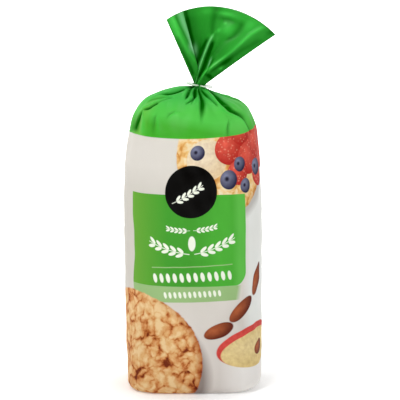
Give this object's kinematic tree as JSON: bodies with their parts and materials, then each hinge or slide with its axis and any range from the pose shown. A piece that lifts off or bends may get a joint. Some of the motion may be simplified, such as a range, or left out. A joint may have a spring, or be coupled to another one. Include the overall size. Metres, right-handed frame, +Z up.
{
  "type": "clipped film bag of puffed rice cakes",
  "caption": "Upright printed film bag round a stack of round puffed rice cakes, gathered into a neck that a flat plastic clip holds shut, with the spare film spread into a fan above it.",
  "frame": {"origin": "middle of the flat base, on the surface that the bag stands on", "axes": "+Z up to the neck and the fan, -Y out of the printed front, +X to the right of the front, which is the side that the fan leans to"},
  "size_m": [0.1086, 0.0984, 0.2784],
  "materials": {
    "film": "satin printed film",
    "clip": "pale translucent plastic"
  },
  "bodies": {
    "root": {"bag": "film", "clip": "clip"}
  },
  "joints": []
}
